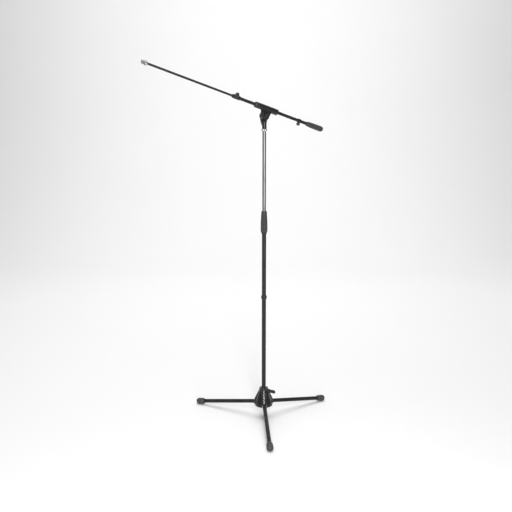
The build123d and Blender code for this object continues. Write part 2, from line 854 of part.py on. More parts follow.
with BuildPart() as stop_collar:
    with BuildSketch(boom_section_plane(stop_collar_rear)):
        Circle(stop_collar_radius)
    extrude(amount=stop_collar_front - stop_collar_rear)
    chamfer(stop_collar.edges(), 1)
    with BuildSketch(stop_screw_plane):
        Circle(stop_boss_radius)
    extrude(amount=stop_knob_start - 0.5)
    with BuildSketch(boom_section_plane(stop_collar_rear)):
        Circle(boom_radius + running_gap)
    extrude(amount=stop_collar_front - stop_collar_rear, mode=Mode.SUBTRACT)
    with BuildSketch(stop_screw_plane):
        Circle(stop_screw_radius + running_gap)
    extrude(amount=stop_knob_start, mode=Mode.SUBTRACT)
finish(stop_collar, "stop_collar")

with BuildPart() as stop_thumbscrew:
    with BuildSketch(stop_screw_plane.offset(boom_radius + free_gap)):
        Circle(stop_screw_radius)
    extrude(amount=stop_knob_start - boom_radius - free_gap)
    with BuildSketch(stop_screw_plane.offset(stop_knob_start)):
        Circle(stop_knob_radius)
    extrude(amount=stop_knob_end - stop_knob_start)
    stop_axis = Axis(stop_screw_plane.origin, stop_screw_plane.z_dir)
    fillet(stop_thumbscrew.edges().group_by(stop_axis)[-1], stop_knob_round)
finish(stop_thumbscrew, "stop_thumbscrew")

# ---------------------------------------------------------------- counterweight
slug_front = -228.0
slug_radius = 10.0
cover_front_radius = 7.8
cover_shoulder_radius = 10.4
cover_shoulder = 9.0  # behind the cover's front
cover_radius = 12.2
cover_end_round = 10.5

with BuildPart() as counterweight_slug:
    with BuildSketch(boom_section_plane(boom_rear)):
        Circle(slug_radius)
        Circle(boom_radius, mode=Mode.SUBTRACT)
    extrude(amount=slug_front - boom_rear)
finish(counterweight_slug, "counterweight_slug")

with BuildPart() as counterweight_cover:
    with BuildSketch(boom_side_plane):
        with BuildLine():
            Line((0, weight_rear), (cover_radius - cover_end_round, weight_rear))
            RadiusArc(
                (cover_radius - cover_end_round, weight_rear),
                (cover_radius, weight_rear + cover_end_round),
                -cover_end_round,
            )
            Spline(
                (cover_radius, weight_rear + cover_end_round),
                (cover_radius, weight_rear + 3 * cover_end_round),
                (cover_shoulder_radius, weight_front - cover_shoulder),
                (cover_front_radius, weight_front),
                tangents=((0, 1), (-1, 1)),
            )
            Polyline(
                (cover_front_radius, weight_front),
                (boom_radius, weight_front),
                (boom_radius, slug_front),
                (slug_radius, slug_front),
                (slug_radius, boom_rear),
                (0, boom_rear),
                (0, weight_rear),
            )
        make_face()
    revolve(axis=boom_axis)
finish(counterweight_cover, "counterweight_cover")
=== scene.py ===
"""Boom microphone stand: the finished look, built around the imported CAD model.

Shapes are written in millimetres in each piece's own frame, with local z along its axis, and are
placed in metres by that frame.
"""
import json
import math
import bmesh
import bpy
import numpy as np
from mathutils import Matrix, Vector


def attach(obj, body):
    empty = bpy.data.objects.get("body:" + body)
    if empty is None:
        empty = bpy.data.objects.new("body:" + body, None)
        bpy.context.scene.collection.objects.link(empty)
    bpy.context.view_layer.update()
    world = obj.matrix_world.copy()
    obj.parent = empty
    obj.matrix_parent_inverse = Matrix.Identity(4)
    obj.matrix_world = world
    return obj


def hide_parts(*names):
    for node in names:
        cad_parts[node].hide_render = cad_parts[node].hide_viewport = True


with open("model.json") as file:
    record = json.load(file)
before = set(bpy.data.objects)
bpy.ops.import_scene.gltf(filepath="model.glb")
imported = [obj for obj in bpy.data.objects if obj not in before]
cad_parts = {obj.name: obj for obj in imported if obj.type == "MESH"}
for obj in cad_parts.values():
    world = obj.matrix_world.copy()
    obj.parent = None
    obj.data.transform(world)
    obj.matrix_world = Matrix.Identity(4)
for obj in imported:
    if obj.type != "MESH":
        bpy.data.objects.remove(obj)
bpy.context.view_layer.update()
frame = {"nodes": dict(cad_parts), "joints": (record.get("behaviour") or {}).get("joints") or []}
joints = {joint["name"]: joint for joint in frame["joints"]}
MM = 0.001
UP = Vector((0, 0, 1))

# ---------------------------------------------------------------- sizes, in millimetres
LEG_SLOPE = math.radians(10.25)
LEG_RADIUS = 9.0
LEG_TUBE_START = 7.0
LOWER_WALL = 1.2
UPPER_WALL = 1.0
ROD_WALL = 0.8
FOOT_REACH = 365.0
FOOT_RADIUS = 14.5
FOOT_LENGTH = 45.0
HUB_TOP = 144.5
HUB_RIM = 59.0
HUB_RIM_RADIUS = 41.0
HUB_COLLAR = 20.5
HUB_COLLAR_BOTTOM = 131.0
HUB_GUIDE_BOTTOM = 113.0
HUB_BORE = 12.0
HUB_WALL = 3.5
HOOD_REACH = 47.0
HOOD_HALF_WIDTH = 12.5
TUNNEL_RADIUS = 9.8
BASE_SCREW_HEIGHT = 131.0
LOWER_TUBE = 9.5
UPPER_TUBE = 8.0
MAST_BOTTOM = 86.0
TUBE_JOINT = 575.0
LOWER_TUBE_TOP = 880.0
CLUTCH_BOTTOM = 865.0
GRIP_BOTTOM = 874.3
CLUTCH_BODY_TOP = 905.0
CLUTCH_TOP = 968.0
UPPER_BOTTOM = 640.0  # hidden in the lower tube
UPPER_TOP = 1316.0
NECK_BOTTOM = 1325.0
NECK_RADIUS = 10.0
DISC_RADIUS = 19.0
BOOM_OFFSET = 33.0
HOLDER_RADIUS = 13.0
HOLDER_REAR = -55.0
HOLDER_FRONT = 41.0
NUT_FRONT = 58.0
BOOM_RADIUS = 6.75
BOOM_REAR = -286.0
BOOM_FRONT = 163.0
ROD_RADIUS = 4.7
ROD_REAR = 40.0
ROD_FRONT = 549.0
STUD_RADIUS = 4.76
THREAD_RADIUS = 7.94
THREAD_PITCH = 25.4 / 27
TIP_END = 573.0
WEIGHT_FRONT = -207.0
WEIGHT_REAR = -295.0


# ================================================================ placing
def placed(origin, z_dir, x_dir=None):
    """Frame with its z along z_dir and its x as near x_dir as it can be."""
    z = Vector(z_dir).normalized()
    x = Vector(x_dir) if x_dir is not None else z.orthogonal()
    x = (x - z * x.dot(z)).normalized()
    y = z.cross(x)
    turn = Matrix((x, y, z)).transposed().to_4x4()
    return Matrix.Translation(Vector(origin)) @ turn


MAST = placed((0, 0, 0), UP, (1, 0, 0))
PIVOT = Vector(joints["boom_tilt"]["pos_m"])
BOOM_DIRECTION = Vector(joints["boom_slide"]["axis"]).normalized()
BOOM_NORMAL = Vector((0, 1, 0)).cross(BOOM_DIRECTION)
BOOM = placed(PIVOT + BOOM_NORMAL * BOOM_OFFSET * MM, BOOM_DIRECTION, BOOM_NORMAL)


def joint_frame(name, x_dir=None):
    """Frame on a hinge, z along its axis."""
    return placed(joints[name]["pos_m"], joints[name]["axis"], x_dir)


def leg_frame(number):
    """Frame at a leg's pin: z runs along the leg to its foot, x across it."""
    side = Vector(joints[f"leg_{number}_fold"]["axis"])
    outward = side.cross(UP)
    along = outward * math.cos(LEG_SLOPE) - UP * math.sin(LEG_SLOPE)
    return placed(joints[f"leg_{number}_fold"]["pos_m"], along, side)


def leg_angle(number):
    """Angle of a leg about the mast, from +X."""
    position = joints[f"leg_{number}_fold"]["pos_m"]
    return math.atan2(position[1], position[0])


# ================================================================ mesh tools
def new_piece(name, points, faces, frame_matrix, smooth_angle=35.0):
    """Object from points in millimetres, smooth except where faces meet at more than an angle."""
    mesh = bpy.data.meshes.new(name)
    mesh.from_pydata([tuple(p) for p in np.asarray(points) * MM], [], faces)
    mesh.validate()
    mesh.shade_smooth()
    mesh.set_sharp_from_angle(angle=math.radians(smooth_angle))
    piece = bpy.data.objects.new(name, mesh)
    bpy.context.scene.collection.objects.link(piece)
    piece.matrix_world = frame_matrix
    return piece


def rounded(outline, radius):
    """Closed or open outline with each inner corner rounded by up to a radius."""
    steps = 5
    out = [np.array(outline[0], float)]
    for before, corner, after in zip(outline, outline[1:], outline[2:]):
        before, corner, after = (np.array(p, float) for p in (before, corner, after))
        back, ahead = before - corner, after - corner
        reach_back, reach_ahead = np.linalg.norm(back), np.linalg.norm(ahead)
        cut = min(radius, 0.45 * reach_back, 0.45 * reach_ahead)
        start = corner + back / reach_back * cut
        end = corner + ahead / reach_ahead * cut
        for t in np.linspace(0, 1, steps):
            out.append((1 - t) ** 2 * start + 2 * t * (1 - t) * corner + t ** 2 * end)
    out.append(np.array(outline[-1], float))
    return out


def ring_faces(rows, segments, closed):
    """Faces between rows of ring points, with the last row joined to the first if closed."""
    faces = []
    for row in range(rows if closed else rows - 1):
        low, high = row * segments, (row + 1) % rows * segments
        for k in range(segments):
            after = (k + 1) % segments
            faces.append((low + k, low + after, high + after, high + k))
    return faces


def turned(name, frame_matrix, outline, segments=96, ring=False, relief=None):
    """Body of revolution of (radius, height) points. A ring's outline closes on itself.

    relief(angle, height) is added to the radius where it is given.
    """
    outline = np.array(outline, float)
    angles = np.linspace(0, 2 * math.pi, segments, endpoint=False)
    radius = np.repeat(outline[:, 0:1], segments, axis=1)
    height = np.repeat(outline[:, 1:2], segments, axis=1)
    around = np.repeat(angles[None, :], len(outline), axis=0)
    if relief is not None:
        radius = radius + relief(around, height) * (radius > 0)
    grid = np.stack([radius * np.cos(around), radius * np.sin(around), height], axis=-1)
    faces = ring_faces(len(outline), segments, ring)
    piece = new_piece(name, grid.reshape(-1, 3), faces, frame_matrix)
    weld(piece)
    return piece


def weld(piece):
    """Merge points that coincide, such as those on the axis, and face all normals outward."""
    work = bmesh.new()
    work.from_mesh(piece.data)
    bmesh.ops.remove_doubles(work, verts=work.verts, dist=1e-7)
    bmesh.ops.dissolve_degenerate(work, edges=work.edges, dist=1e-7)
    bmesh.ops.recalc_face_normals(work, faces=work.faces)
    work.to_mesh(piece.data)
    work.free()


def stacked(outline, levels):
    """Points and faces of a solid: one flat outline, scaled at each (height, scale) level."""
    count = len(outline)
    points = [(x * scale, y * scale, height) for height, scale in levels for x, y in outline]
    last = (len(levels) - 1) * count
    faces = [tuple(range(count))[::-1], tuple(range(last, last + count))]
    return np.array(points, float), faces + ring_faces(len(levels), count, False)


def prism(outline, low, high):
    """Points and faces of an upright prism over a flat outline."""
    return stacked(outline, [(low, 1), (high, 1)])


def disc_outline(radius, count=64):
    """Points round a circle."""
    turns = [2 * math.pi * k / count for k in range(count)]
    return [(radius * math.cos(t), radius * math.sin(t)) for t in turns]


def moved(solid, matrix):
    """A solid's points moved by a matrix in millimetres."""
    points, faces = solid
    return np.array([matrix @ Vector(p) for p in points]), faces


def fused(name, frame_matrix, solids, voxel=0.6, smoothing=8):
    """One casting from overlapping solids, with soft fillets where they meet."""
    points, faces = [], []
    for solid_points, solid_faces in solids:
        start = len(points)
        points.extend(solid_points)
        faces.extend(tuple(start + k for k in face) for face in solid_faces)
    rough = new_piece(name + "_rough", points, faces, frame_matrix)
    remesh = rough.modifiers.new("join", "REMESH")
    remesh.mode = "VOXEL"
    remesh.voxel_size = voxel * MM
    soften = rough.modifiers.new("soften", "SMOOTH")
    soften.factor = 0.5
    soften.iterations = smoothing
    mesh = bpy.data.meshes.new_from_object(
        rough.evaluated_get(bpy.context.evaluated_depsgraph_get()))
    bpy.data.objects.remove(rough)
    mesh.name = name
    mesh.shade_smooth()
    piece = bpy.data.objects.new(name, mesh)
    bpy.context.scene.collection.objects.link(piece)
    piece.matrix_world = frame_matrix
    return piece


def cut_away(piece, cutter):
    """Subtract a cutter from a piece."""
    boolean = piece.modifiers.new("cut", "BOOLEAN")
    boolean.operation = "DIFFERENCE"
    boolean.solver = "EXACT"
    boolean.object = cutter
    mesh = bpy.data.meshes.new_from_object(
        piece.evaluated_get(bpy.context.evaluated_depsgraph_get()))
    piece.modifiers.clear()
    piece.data = mesh
    bpy.data.objects.remove(cutter)
    mesh.shade_smooth()
    mesh.set_sharp_from_angle(angle=math.radians(35))


def bored(piece, place, radius, low, high):
    """Straight round hole through a piece."""
    points, faces = prism(disc_outline(radius, count=96), low, high)
    cutter = new_piece("bore", points, faces, place)
    weld(cutter)
    cut_away(piece, cutter)
    return piece


def soft_max(a, b, blend):
    """The larger of two lengths, with a fillet about blend wide where they cross."""
    gap = np.clip(blend - np.abs(a - b), 0, None)
    return np.maximum(a, b) + gap * gap / (4 * blend)


def soft_min(a, b, blend):
    """The smaller of two lengths, with a round about blend wide where they cross."""
    return -soft_max(-a, -b, blend)


def diamonds(around, pitch, depth):
    """Relief of raised diamonds between crossed grooves, for turned()."""
    ramp = 0.45  # share of the pitch over which the height climbs from groove to diamond

    def pattern(angle, height):
        turns = around * angle / (2 * math.pi)
        one = np.abs(2 * ((turns + height / pitch) % 1) - 1)
        other = np.abs(2 * ((turns - height / pitch) % 1) - 1)
        groove = np.clip(np.minimum(one, other) / ramp, 0, 1)
        return depth * (groove * groove * (3 - 2 * groove) - 1)
    return pattern


def ribs(count, depth):
    """Relief of straight ribs along the axis, for turned()."""
    return lambda angle, height: depth * (np.abs(((count * angle / (2 * math.pi)) % 1) * 2 - 1) - 1)


# ================================================================ materials
def shader(name):
    """New node material and its principled shader, with a link helper and object coordinates."""
    material = bpy.data.materials.new(name)
    material.use_nodes = True
    nodes = material.node_tree.nodes
    links = material.node_tree.links
    principled = nodes["Principled BSDF"]
    coordinates = nodes.new("ShaderNodeTexCoord").outputs["Object"]
    return material, nodes, links, principled, coordinates


def noise(nodes, links, coordinates, scale, stretch=(1, 1, 1), detail=4.0):
    """Noise texture in object coordinates, stretched by a mapping."""
    mapping = nodes.new("ShaderNodeMapping")
    mapping.inputs["Scale"].default_value = stretch
    links.new(coordinates, mapping.inputs["Vector"])
    texture = nodes.new("ShaderNodeTexNoise")
    texture.inputs["Scale"].default_value = scale
    texture.inputs["Detail"].default_value = detail
    texture.inputs["Roughness"].default_value = 0.55
    links.new(mapping.outputs["Vector"], texture.inputs["Vector"])
    return texture.outputs["Fac"]


def remap(nodes, links, value, low, high, out_low, out_high):
    """Clamped linear remap."""
    node = nodes.new("ShaderNodeMapRange")
    for socket, number in zip(("From Min", "From Max", "To Min", "To Max"),
                              (low, high, out_low, out_high)):
        node.inputs[socket].default_value = number
    links.new(value, node.inputs["Value"])
    return node.outputs["Result"]


def blend_colour(nodes, links, factor, first, second):
    """Mix of two colours, either of which may be a socket."""
    node = nodes.new("ShaderNodeMix")
    node.data_type = "RGBA"
    links.new(factor, node.inputs["Factor"])
    for socket, colour in ((node.inputs[6], first), (node.inputs[7], second)):
        if isinstance(colour, bpy.types.NodeSocket):
            links.new(colour, socket)
        else:
            socket.default_value = (*colour, 1.0)
    return node.outputs[2]


def bump(nodes, links, principled, height, distance):
    """Bump from a height, in metres."""
    node = nodes.new("ShaderNodeBump")
    node.inputs["Strength"].default_value = 1.0
    node.inputs["Distance"].default_value = distance
    links.new(height, node.inputs["Height"])
    links.new(node.outputs["Normal"], principled.inputs["Normal"])


def edge_wear(nodes, links, coordinates):
    """Mask of exposed edges, broken up by noise."""
    pointiness = nodes.new("ShaderNodeNewGeometry").outputs["Pointiness"]
    edges = remap(nodes, links, pointiness, 0.53, 0.6, 0, 1)
    patches = remap(nodes, links, noise(nodes, links, coordinates, 160), 0.45, 0.62, 0, 1)
    node = nodes.new("ShaderNodeMath")
    node.operation = "MULTIPLY"
    links.new(edges, node.inputs[0])
    links.new(patches, node.inputs[1])
    return node.outputs["Value"]


def painted(name, dark, light, worn, gloss, texture_scale, texture_height, coat=0.0, shine=0.5):
    """Black paint or powder coat: tone drift, fine texture, polished and worn patches."""
    material, nodes, links, principled, coordinates = shader(name)
    drift = noise(nodes, links, coordinates, 14)
    tone = blend_colour(nodes, links, remap(nodes, links, drift, 0.35, 0.65, 0, 1), dark, light)
    wear = edge_wear(nodes, links, coordinates)
    links.new(blend_colour(nodes, links, wear, tone, worn), principled.inputs["Base Color"])
    smudge = noise(nodes, links, coordinates, 45, (1, 1, 0.4))
    links.new(remap(nodes, links, smudge, 0.3, 0.7, gloss[0], gloss[1]),
              principled.inputs["Roughness"])
    principled.inputs["Specular IOR Level"].default_value = shine
    principled.inputs["Coat Weight"].default_value = coat
    principled.inputs["Coat Roughness"].default_value = 0.12
    grain = noise(nodes, links, coordinates, texture_scale, detail=2.0)
    bump(nodes, links, principled, grain, texture_height)
    return material


def bright_metal(name, low, high, gloss, draw_lines, line_height):
    """Plated metal with fine lines along or round the part."""
    material, nodes, links, principled, coordinates = shader(name)
    principled.inputs["Metallic"].default_value = 1.0
    lines = noise(nodes, links, coordinates, 900, draw_lines, detail=3.0)
    cloud = noise(nodes, links, coordinates, 22)
    tone = blend_colour(nodes, links, remap(nodes, links, cloud, 0.35, 0.65, 0, 1), low, high)
    links.new(tone, principled.inputs["Base Color"])
    links.new(remap(nodes, links, lines, 0.3, 0.7, gloss[0], gloss[1]),
              principled.inputs["Roughness"])
    bump(nodes, links, principled, lines, line_height)
    return material


def moulded(name, dark, light, gloss, grain_scale, grain_height, dust=None):
    """Rubber or plastic: raised edges are painted lighter as a highlight, and dust gathers in
    patches if asked.
    """
    material, nodes, links, principled, coordinates = shader(name)
    # Painted highlight: raised edges and ridges take the lighter colour as if light caught them,
    # and hollows keep the dark one.
    pointiness = nodes.new("ShaderNodeNewGeometry").outputs["Pointiness"]
    painted_highlight_mask = remap(nodes, links, pointiness, 0.47, 0.56, 0, 1)
    tone = blend_colour(nodes, links, painted_highlight_mask, dark, light)
    if dust is not None:
        patches = remap(nodes, links, noise(nodes, links, coordinates, 120), 0.5, 0.8, 0, 0.6)
        tone = blend_colour(nodes, links, patches, tone, dust)
    links.new(tone, principled.inputs["Base Color"])
    smudge = noise(nodes, links, coordinates, 70)
    links.new(remap(nodes, links, smudge, 0.3, 0.7, gloss[0], gloss[1]),
              principled.inputs["Roughness"])
    principled.inputs["Specular IOR Level"].default_value = 0.3
    grain = noise(nodes, links, coordinates, grain_scale, detail=3.0)
    bump(nodes, links, principled, grain, grain_height)
    return material


CAST = painted("gloss_black_casting", (0.010, 0.010, 0.011), (0.016, 0.016, 0.017),
               (0.09, 0.09, 0.09), (0.22, 0.32), 420, 0.00002, coat=0.3, shine=0.25)
TUBE = painted("black_powder_coat", (0.012, 0.012, 0.013), (0.019, 0.019, 0.020),
               (0.08, 0.08, 0.08), (0.24, 0.34), 1300, 0.00002, shine=0.22)
BRIGHT = bright_metal("drawn_grey_tube", (0.18, 0.18, 0.185), (0.22, 0.22, 0.225), (0.28, 0.38),
                      (1, 1, 0.02), 0.000006)
CHROME = bright_metal("bright_plating", (0.36, 0.36, 0.37), (0.46, 0.46, 0.47), (0.22, 0.34),
                      (0.1, 0.1, 1), 0.000005)
STEEL = bright_metal("zinc_steel", (0.45, 0.45, 0.46), (0.55, 0.55, 0.56), (0.3, 0.45),
                     (0.1, 0.1, 1), 0.00001)
# The second colour of each moulded material is its painted highlight on raised edges.
PLASTIC = moulded("black_plastic", (0.012, 0.012, 0.013), (0.045, 0.045, 0.046), (0.24, 0.36),
                  1500, 0.00002)
GRIP = moulded("textured_grip", (0.012, 0.012, 0.013), (0.08, 0.08, 0.082), (0.3, 0.42),
               1800, 0.00003)
RUBBER = moulded("foot_rubber", (0.03, 0.03, 0.031), (0.07, 0.07, 0.072), (0.55, 0.7),
                 900, 0.00005, dust=(0.12, 0.115, 0.11))


def fit(piece, body, slot, material, *nodes):
    """Give a piece its material and body, and the CAD nodes it stands for; the slot argument is not
    used.
    """
    piece.data.materials.clear()
    piece.data.materials.append(material)
    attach(piece, body)
    if nodes:
        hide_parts(*nodes)


def dress(node, material):
    """Better material on a CAD node that stays."""
    for holder in frame["nodes"][node].material_slots:
        holder.material = material


# ================================================================ base
LEG_NUMBERS = (1, 2, 3)
SCREW_ANGLE = math.atan2(joints["base_clamp_turn"]["axis"][1], joints["base_clamp_turn"]["axis"][0])
HUB_SHOULDER = 6.0
RIDGE_TOP = 136.0
RIDGE_TAPER = 3.0
RIDGE_CROWN = 0.013
HOOD_TOP = 84.0
TAPER_START = 80.0
BOSS_RADIUS = 9.0
BOSS_REACH = 31.0
HUB_EDGE = 2.0
SIDE_LIMIT = 0.2  # a ridge or boss only shows where the cosine of the angle from it is above this


def angle_from(angle, centre):
    """Signed angle from a centre, between -pi and pi."""
    return (angle - centre + math.pi) % (2 * math.pi) - math.pi


def hub_radius(angle, height):
    """Outside of the hub: a cone with a rounded ridge over each leg and a boss for the screw."""
    slant = (HUB_RIM_RADIUS - HUB_COLLAR) / (HUB_COLLAR_BOTTOM - HUB_RIM - HUB_SHOULDER)
    body = HUB_COLLAR + np.clip(HUB_COLLAR_BOTTOM - height, 0, None) * slant
    body = soft_min(body, np.full_like(body, HUB_RIM_RADIUS), 3)
    for number in LEG_NUMBERS:
        body = soft_max(body, ridge_radius(angle_from(angle, leg_angle(number)), height), 4)
    return soft_max(body, boss_radius(angle_from(angle, SCREW_ANGLE), height), 2.5)


def ridge_radius(offset, height):
    """Outside of the ridge over a leg, at an angle from the leg: crowned top and rounded sides."""
    facing = np.clip(np.cos(offset), SIDE_LIMIT, 1)
    slope = (HOOD_REACH - HUB_COLLAR) / (RIDGE_TOP - HOOD_TOP)
    reach = HUB_COLLAR - 1 + (RIDGE_TOP - height) * slope
    reach = soft_min(reach, np.full_like(reach, HOOD_REACH), 5)
    reach = reach - RIDGE_CROWN * (reach * np.tan(np.clip(offset, -1, 1))) ** 2
    risen = np.clip((height - TAPER_START) / (RIDGE_TOP - TAPER_START), 0, 1)
    half_width = HOOD_HALF_WIDTH - RIDGE_TAPER * risen
    sides = half_width / np.clip(np.abs(np.sin(offset)), 1e-3, 1)
    return np.where(np.cos(offset) > SIDE_LIMIT, soft_min(reach / facing, sides, 6), 0)


def boss_radius(offset, height):
    """Outside of the screw's boss, at an angle from the screw."""
    facing = np.clip(np.cos(offset), SIDE_LIMIT, 1)
    span = np.sqrt(np.clip(BOSS_RADIUS ** 2 - (height - BASE_SCREW_HEIGHT) ** 2, 0, None))
    sides = span / np.clip(np.abs(np.sin(offset)), 1e-3, 1)
    boss = soft_min(BOSS_REACH / facing, sides, 2)
    return np.where((np.cos(offset) > SIDE_LIMIT) & (span > 0), boss, 0)


def hub_rings(angles):
    """Rings of (radius, height) round the hub: outside from rim to top, then bore and hollow."""
    def outside(height, inset=0.0):
        return hub_radius(angles, np.full(len(angles), height)) - inset, height

    quarter = np.linspace(0, math.pi / 2, 5)
    rings = [outside(HUB_RIM + HUB_EDGE * (1 - math.cos(turn)), HUB_EDGE * (1 - math.sin(turn)))
             for turn in quarter]
    rings += [outside(height)
              for height in np.linspace(HUB_RIM + HUB_EDGE, HUB_TOP - HUB_EDGE, 96)[1:-1]]
    rings += [outside(HUB_TOP - HUB_EDGE + HUB_EDGE * math.sin(turn),
                      HUB_EDGE * (1 - math.cos(turn))) for turn in quarter]
    rings += [(np.full(len(angles), HUB_BORE), height) for height in (HUB_TOP, HUB_GUIDE_BOTTOM)]
    rings += [outside(height, HUB_WALL) for height in np.linspace(HUB_GUIDE_BOTTOM, HUB_RIM, 24)]
    return rings


def make_tunnel(place):
    """Cutter for one leg's way out of the hub: round above, open below."""
    below, length = 30.0, 60.0
    up_side = 1 if (place.to_3x3() @ Vector((0, 1, 0))).z > 0 else -1
    arch = [(TUNNEL_RADIUS * math.cos(turn), TUNNEL_RADIUS * math.sin(turn))
            for turn in np.linspace(0, math.pi, 33)]
    arch = [(TUNNEL_RADIUS, -below)] + arch + [(-TUNNEL_RADIUS, -below)]
    points, faces = prism([(x, up_side * y) for x, y in arch], LEG_TUBE_START - 0.5, length)
    cutter = new_piece("tunnel", points, faces, place)
    weld(cutter)
    return cutter


def make_hub():
    """Hub casting with its hollow inside, its bore and a tunnel for each leg."""
    segments = 384
    angles = np.linspace(0, 2 * math.pi, segments, endpoint=False)
    rings = hub_rings(angles)
    points = [np.stack([r * np.cos(angles), r * np.sin(angles), np.full(segments, z)], -1)
              for r, z in rings]
    hub = new_piece("hub_casting", np.concatenate(points), ring_faces(len(rings), segments, True),
                    MAST, 40)
    weld(hub)
    for number in LEG_NUMBERS:
        cut_away(hub, make_tunnel(leg_frame(number)))
    return hub


fit(make_hub(), "base", "cast_metal", CAST, "base_hub")
dress("hub_bush", PLASTIC)
dress("leg_hinge_pins", STEEL)


def make_t_bar(name, place, stem_start, bar_start, end, length, width, tilt):
    """T-bar: a tapering stem under a cross bar with rounded, thinner ends."""
    stem_radius, thinning = 8.0, 0.25
    stem_solid = stacked(disc_outline(stem_radius), [(stem_start, 1), (end - 3, 0.75)])
    cosine, sine = math.cos(tilt), math.sin(tilt)
    bar = []
    for turn in np.linspace(0, 2 * math.pi, 40, endpoint=False):
        along = math.copysign(abs(math.cos(turn)) ** 0.7, math.cos(turn))
        across = math.copysign(abs(math.sin(turn)) ** 0.9, math.sin(turn))
        x = along * length / 2
        y = across * width / 2 * (1 - thinning * abs(along))
        bar.append((x * cosine - y * sine, x * sine + y * cosine))
    bar_solid = stacked(bar, [(bar_start, 0.86), (bar_start + 2, 0.97), (end - 4, 1.0),
                              (end - 1.5, 0.93), (end, 0.8)])
    return fused(name, place, [stem_solid, bar_solid], 0.4, 5)


base_screw_frame = joint_frame("base_clamp_turn", UP)
base_knob = make_t_bar("base_t_bar", base_screw_frame, stem_start=32, bar_start=42.5, end=57,
                       length=23, width=12.4, tilt=math.radians(35))
fit(base_knob, "base_knob", "plastic", PLASTIC, "base_clamp_t_bar")
dress("base_clamp_screw", STEEL)


def foot_outline(start, centre):
    """Outline of a rubber foot: neck with a groove, flared shoulder and a ball end."""
    neck, shoulder, shoulder_at = 11.5, 13.6, 7.0
    outline = [(LEG_RADIUS, centre - 2), (LEG_RADIUS, start), (neck - 1.0, start),
               (neck, start + 0.7), (neck + 0.2, start + 2.2), (neck - 0.3, start + 2.7),
               (neck - 0.3, start + 3.5), (shoulder - 1.1, start + 4.2),
               (shoulder - 0.3, start + 5.6)]
    for t in np.linspace(0, 1, 20):
        swell = 1 - (1 - t) ** 2
        outline.append((shoulder + (FOOT_RADIUS - shoulder) * swell,
                        start + shoulder_at + (centre - start - shoulder_at) * t))
    for turn in np.linspace(0, math.pi / 2, 16)[1:]:
        outline.append((FOOT_RADIUS * math.cos(turn), centre + FOOT_RADIUS * math.sin(turn)))
    outline[-1] = (0.0, centre + FOOT_RADIUS)
    outline.append((0.0, centre - 2))
    return outline


def make_leg(number):
    """Leg tube and rubber foot."""
    place = leg_frame(number)
    body = f"leg_{number}"
    pin_distance = Vector(joints[f"leg_{number}_fold"]["pos_m"]).xy.length / MM
    foot_centre = (FOOT_REACH - FOOT_RADIUS - pin_distance) / math.cos(LEG_SLOPE)
    foot_start = foot_centre + FOOT_RADIUS - FOOT_LENGTH
    inner = LEG_RADIUS - LOWER_WALL
    leg = turned(f"{body}_tube", place, rounded([
        (inner, LEG_TUBE_START), (LEG_RADIUS, LEG_TUBE_START), (LEG_RADIUS, foot_centre),
        (inner, foot_centre)], 0.5), 64, ring=True)
    fit(leg, body, "black_tube", TUBE, f"leg_tube_{number}")
    foot = turned(f"{body}_foot", place, foot_outline(foot_start, foot_centre), 80, ring=True)
    fit(foot, body, "rubber", RUBBER, f"leg_foot_{number}")
    dress(f"leg_fitting_{number}", PLASTIC)


for number in LEG_NUMBERS:
    make_leg(number)


# ================================================================ mast
def closed_ring(outline, radius):
    """Rounded outline of a ring whose first point is also its last."""
    return rounded(outline + outline[:1], radius)[:-1]


def tube(name, place, bottom, top, radius, wall, body, slot, material, *nodes):
    """Plain tube with softened ends."""
    outline = [(radius - wall, bottom), (radius, bottom), (radius, top), (radius - wall, top)]
    piece = turned(name, place, closed_ring(outline, 0.4), 72, ring=True)
    fit(piece, body, slot, material, *nodes)


tube("lower_tube_bottom", MAST, MAST_BOTTOM, TUBE_JOINT, LOWER_TUBE, LOWER_WALL, "mast",
     "black_tube", TUBE, "mast_lower_tube")
tube("lower_tube_top", MAST, TUBE_JOINT, LOWER_TUBE_TOP, LOWER_TUBE, LOWER_WALL, "mast",
     "black_tube", TUBE, "mast_middle_tube")
tube("upper_tube", MAST, UPPER_BOTTOM, UPPER_TOP, UPPER_TUBE, UPPER_WALL, "upper", "chrome", BRIGHT,
     "mast_upper_tube")

COLLAR_RADIUS, COLLAR_END_RADIUS, COLLAR_HALF, COLLAR_FLAT = 13.0, 10.6, 8.0, 5.5
collar = turned("joint_collar", MAST, rounded([
    (LOWER_TUBE, TUBE_JOINT - COLLAR_HALF), (COLLAR_END_RADIUS, TUBE_JOINT - COLLAR_HALF),
    (COLLAR_RADIUS, TUBE_JOINT - COLLAR_FLAT), (COLLAR_RADIUS, TUBE_JOINT + COLLAR_FLAT),
    (COLLAR_END_RADIUS, TUBE_JOINT + COLLAR_HALF), (LOWER_TUBE, TUBE_JOINT + COLLAR_HALF)], 2.5),
    96, ring=True)
fit(collar, "mast", "cast_metal", CAST, "tube_joint_collar")

# clutch body: a flare up to the grip, then a threaded neck inside it
FLARE_START, FLARE_RADIUS, FLARE_HEIGHT = 10.6, 12.6, 4.0
CLUTCH_NECK, CLUTCH_BORE = 11.4, 8.4
flare_top = GRIP_BOTTOM - 0.4
clutch_base = turned("clutch_base", MAST, closed_ring([
    (LOWER_TUBE, CLUTCH_BOTTOM), (FLARE_START, CLUTCH_BOTTOM),
    (FLARE_RADIUS, CLUTCH_BOTTOM + FLARE_HEIGHT), (FLARE_RADIUS, flare_top),
    (CLUTCH_NECK, flare_top), (CLUTCH_NECK, CLUTCH_BODY_TOP), (CLUTCH_BORE, CLUTCH_BODY_TOP),
    (CLUTCH_BORE, LOWER_TUBE_TOP), (LOWER_TUBE, LOWER_TUBE_TOP)], 0.8), 96, ring=True)
fit(clutch_base, "mast", "cast_metal", CAST, "clutch_body")

GRIP_OUTLINE = [(14.2, GRIP_BOTTOM), (14.9, 875.5), (15.2, 884), (15.2, 900), (14.7, 922),
                (13.5, 943), (12.5, 962), (11.6, 965.5), (10.2, CLUTCH_TOP)]
GRIP_BORE, GRIP_NECK_BORE, GRIP_STEP = 11.6, 8.5, 931.0


